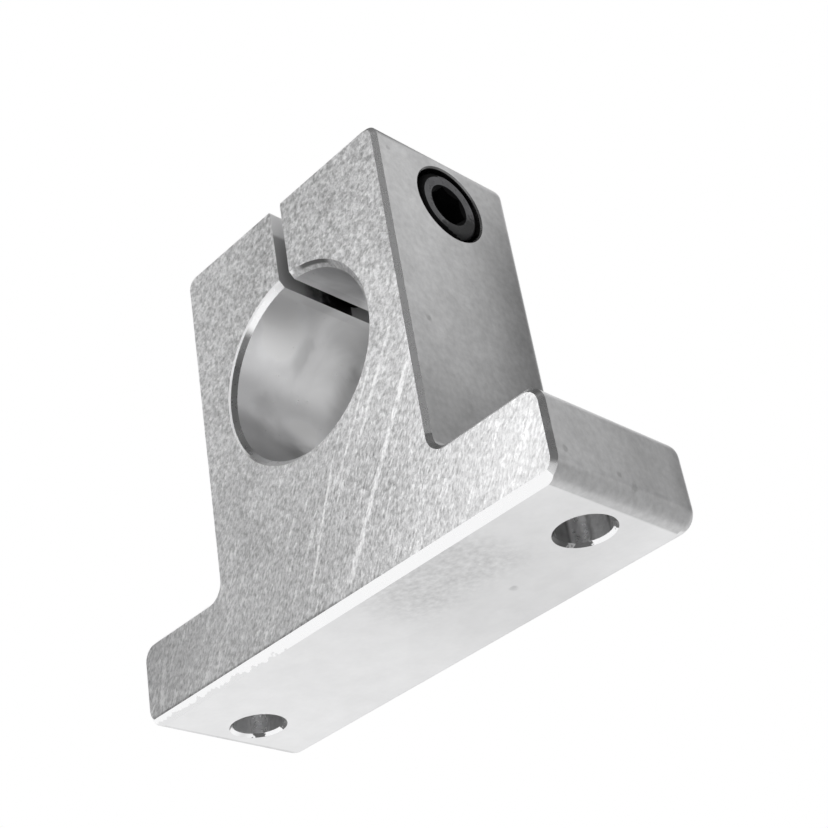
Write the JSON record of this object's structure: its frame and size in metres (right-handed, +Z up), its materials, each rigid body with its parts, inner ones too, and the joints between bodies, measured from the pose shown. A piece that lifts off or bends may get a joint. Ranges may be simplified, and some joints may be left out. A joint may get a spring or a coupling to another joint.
{
  "type": "shaft support block",
  "caption": "Split-clamp shaft support block: a T-shaped aluminium foot that grips the end of a linear shaft with a socket head clamp screw.",
  "frame": {"origin": "centre of the base face, midway between the two mounting holes", "axes": "+Z up from the base to the slit, +X across the feet towards the screw head, +Y along the shaft bore"},
  "size_m": [0.07, 0.024, 0.06],
  "materials": {
    "milled_aluminium": "satin",
    "black_oxide_steel": "satin"
  },
  "bodies": {
    "block": {"support_block": "milled_aluminium"},
    "screw": {"clamp_screw": "black_oxide_steel"}
  },
  "joints": [
    {"name": "clamp_screw_turn", "type": "hinge", "parent": "block", "child": "screw", "pos_m": [0.0128, 0, 0.052], "axis": [1, 0, 0], "range_deg": [0, 450]}
  ]
}
